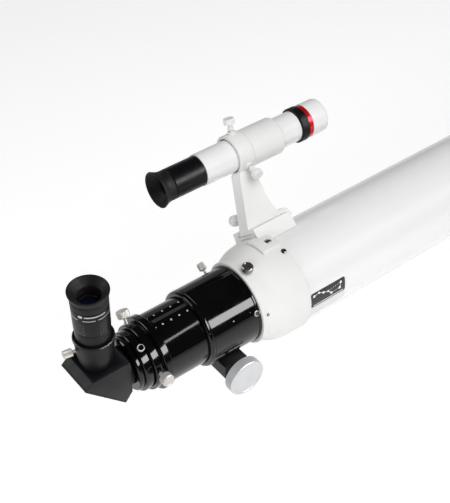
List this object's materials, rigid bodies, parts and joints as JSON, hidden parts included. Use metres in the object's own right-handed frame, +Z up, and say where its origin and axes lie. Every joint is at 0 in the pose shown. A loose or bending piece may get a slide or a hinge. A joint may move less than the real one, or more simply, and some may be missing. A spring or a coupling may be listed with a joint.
{
  "type": "refractor telescope",
  "caption": "Long-focus refractor optical tube with rack-and-pinion focuser, star diagonal and eyepiece, a straight-through finder on a bracket, and tube rings on a dovetail bar.",
  "frame": {"origin": "middle of the dovetail bar's flat underside, where a telescope mount's saddle holds it", "axes": "+X forward along the optical axis towards the sky, +Z up, +Y to the observer's left; the eyepiece points up at rest"},
  "size_m": [1.4573, 0.205, 0.243],
  "materials": {
    "tube_white": "gloss white",
    "gloss_white": "gloss white",
    "casting_white": "satin white",
    "screw_white": "satin white",
    "black_gloss": "gloss black anodised",
    "black_satin": "satin black",
    "anthracite": "satin anthracite",
    "rubber": "matte",
    "nickel": "nickel plated",
    "steel": "zinc plated",
    "aluminium": "satin",
    "red_anodised": "anodised",
    "lens_glass": "coated",
    "mirror": "first-surface",
    "matt_black": "matt black"
  },
  "bodies": {
    "mount": {"dovetail_bar": "black_satin", "ring_lower_rear": "casting_white", "ring_lower_front": "casting_white", "ring_pin_rear": "steel", "ring_pin_front": "steel", "bar_screw_rear": "steel", "bar_screw_front": "steel"},
    "ring_top_rear": {"ring_upper_rear": "casting_white"},
    "ring_top_front": {"ring_upper_front": "casting_white"},
    "bolt_rear": {"ring_bolt_rear": "nickel"},
    "bolt_front": {"ring_bolt_front": "nickel"},
    "tube": {"main_tube": "tube_white", "rear_casting": "casting_white", "baffle_rear": "matt_black", "baffle_front": "matt_black", "objective_cell": "matt_black", "crown_lens": "lens_glass", "flint_lens": "lens_glass", "lens_retaining_ring": "matt_black", "dew_shield": "gloss_white", "casting_screw": "steel", "finder_shoe": "casting_white", "shoe_screw": "steel"},
    "rotation_lock": {"rotation_lock_screw": "nickel"},
    "focuser": {"focuser_body": "black_gloss", "pinion_housing": "black_satin"},
    "drawtube_lock": {"drawtube_lock_screw": "nickel"},
    "pinion": {"pinion_shaft": "steel", "focus_knob_near": "aluminium", "focus_knob_far": "aluminium"},
    "draw": {"draw_tube": "black_gloss", "rack": "steel", "clamp_collar": "black_gloss"},
    "clamp_top": {"clamp_screw_top": "nickel"},
    "clamp_side": {"clamp_screw_side": "nickel"},
    "adapter": {"eyepiece_adapter": "black_gloss", "adapter_screw": "steel"},
    "diagonal": {"diagonal_body": "anthracite", "diagonal_nose": "black_satin", "diagonal_mirror": "mirror", "diagonal_cover": "anthracite", "diagonal_barrel": "black_satin"},
    "diagonal_lock": {"diagonal_screw": "nickel"},
    "eyepiece": {"eyepiece_body": "black_satin", "eyepiece_barrel": "nickel", "eyepiece_lens": "lens_glass", "eyepiece_eyecup": "rubber"},
    "bracket": {"finder_bracket": "casting_white", "finder_plunger": "nickel"},
    "bracket_lock": {"bracket_thumbscrew": "screw_white"},
    "finder_aim_top": {"finder_screw_top": "screw_white"},
    "finder_aim_near": {"finder_screw_near": "screw_white"},
    "finder": {"finder_tube": "gloss_white", "finder_eyepiece": "black_satin", "finder_eye_lens": "lens_glass", "finder_eyecup": "rubber"},
    "finder_lock": {"finder_lock_ring": "black_satin"},
    "finder_front": {"finder_red_ring": "red_anodised", "finder_cell": "gloss_white", "finder_objective": "lens_glass"}
  },
  "joints": [
    {"name": "ring_top_rear_hinge", "type": "hinge", "parent": "mount", "child": "ring_top_rear", "pos_m": [-0.075, 0.066, 0.095], "axis": [-1, 0, 0], "range_deg": [0, 100]},
    {"name": "ring_bolt_rear_swing", "type": "hinge", "parent": "mount", "child": "bolt_rear", "pos_m": [-0.075, -0.069, 0.0894], "axis": [1, 0, 0], "range_deg": [0, 80]},
    {"name": "ring_top_front_hinge", "type": "hinge", "parent": "mount", "child": "ring_top_front", "pos_m": [0.075, 0.066, 0.095], "axis": [-1, 0, 0], "range_deg": [0, 100]},
    {"name": "ring_bolt_front_swing", "type": "hinge", "parent": "mount", "child": "bolt_front", "pos_m": [0.075, -0.069, 0.0894], "axis": [1, 0, 0], "range_deg": [0, 80]},
    {"name": "tube_slide", "type": "slide", "parent": "mount", "child": "tube", "axis": [1, 0, 0], "range_m": [-0.3, 0.12]},
    {"name": "rotation_lock_turn", "type": "hinge", "parent": "tube", "child": "rotation_lock", "pos_m": [-0.4896, -0.00739, 0.14445], "axis": [0, -0.1478, 0.989], "continuous": true},
    {"name": "focuser_rotation", "type": "hinge", "parent": "tube", "child": "focuser", "pos_m": [-0.53, 0, 0.095], "axis": [1, 0, 0], "continuous": true},
    {"name": "drawtube_lock_turn", "type": "hinge", "parent": "focuser", "child": "drawtube_lock", "pos_m": [-0.5105, 0.0424, 0.1215], "axis": [0, 0.848, 0.5299], "continuous": true},
    {"name": "focus_spin", "type": "hinge", "parent": "focuser", "child": "pinion", "pos_m": [-0.5293, 0, 0.04875], "axis": [0, 1, 0], "range_deg": [-296, 362]},
    {"name": "drawtube_slide", "type": "slide", "parent": "focuser", "child": "draw", "axis": [1, 0, 0], "range_m": [-0.036, 0.044]},
    {"name": "clamp_top_turn", "type": "hinge", "parent": "draw", "child": "clamp_top", "pos_m": [-0.6224, 0.02868, 0.13596], "axis": [0, 0.5736, 0.8192], "continuous": true},
    {"name": "clamp_side_turn", "type": "hinge", "parent": "draw", "child": "clamp_side", "pos_m": [-0.6224, -0.04938, 0.10282], "axis": [0, -0.9877, 0.1564], "continuous": true},
    {"name": "adapter_turn", "type": "hinge", "parent": "draw", "child": "adapter", "pos_m": [-0.62, 0, 0.095], "axis": [1, 0, 0], "continuous": true},
    {"name": "diagonal_slide", "type": "slide", "parent": "adapter", "child": "diagonal", "axis": [-1, 0, 0], "range_m": [0, 0.035]},
    {"name": "diagonal_screw_turn", "type": "hinge", "parent": "diagonal", "child": "diagonal_lock", "pos_m": [-0.70012, 0.00457, 0.147], "axis": [-0.9866, 0.1633, 0], "continuous": true},
    {"name": "eyepiece_slide", "type": "slide", "parent": "diagonal", "child": "eyepiece", "axis": [0, 0, 1], "range_m": [0, 0.03]},
    {"name": "bracket_slide", "type": "slide", "parent": "tube", "child": "bracket", "axis": [-1, 0, 0], "range_m": [0, 0.04]},
    {"name": "bracket_screw_turn", "type": "hinge", "parent": "bracket", "child": "bracket_lock", "pos_m": [-0.444, 0.07034, 0.13565], "axis": [0, 0.7426, -0.6698], "continuous": true},
    {"name": "finder_screw_top_turn", "type": "hinge", "parent": "bracket", "child": "finder_aim_top", "pos_m": [-0.422, 0.10956, 0.23608], "axis": [0, 0.342, 0.9397], "continuous": true},
    {"name": "finder_screw_near_turn", "type": "hinge", "parent": "bracket", "child": "finder_aim_near", "pos_m": [-0.422, 0.06312, 0.19711], "axis": [0, -0.9848, -0.1736], "continuous": true},
    {"name": "finder_slide", "type": "slide", "parent": "bracket", "child": "finder", "axis": [1, 0, 0], "range_m": [-0.026, 0.085]},
    {"name": "finder_lock_ring_turn", "type": "hinge", "parent": "finder", "child": "finder_lock", "pos_m": [-0.33, 0.09759, 0.20319], "axis": [1, 0, 0], "continuous": true},
    {"name": "finder_cell_turn", "type": "hinge", "parent": "finder", "child": "finder_front", "pos_m": [-0.315, 0.09759, 0.20319], "axis": [1, 0, 0], "continuous": true}
  ],
  "couplings": [
    {"joint": "focus_spin", "follows": "drawtube_slide", "rad_per_m": 142.86}
  ]
}
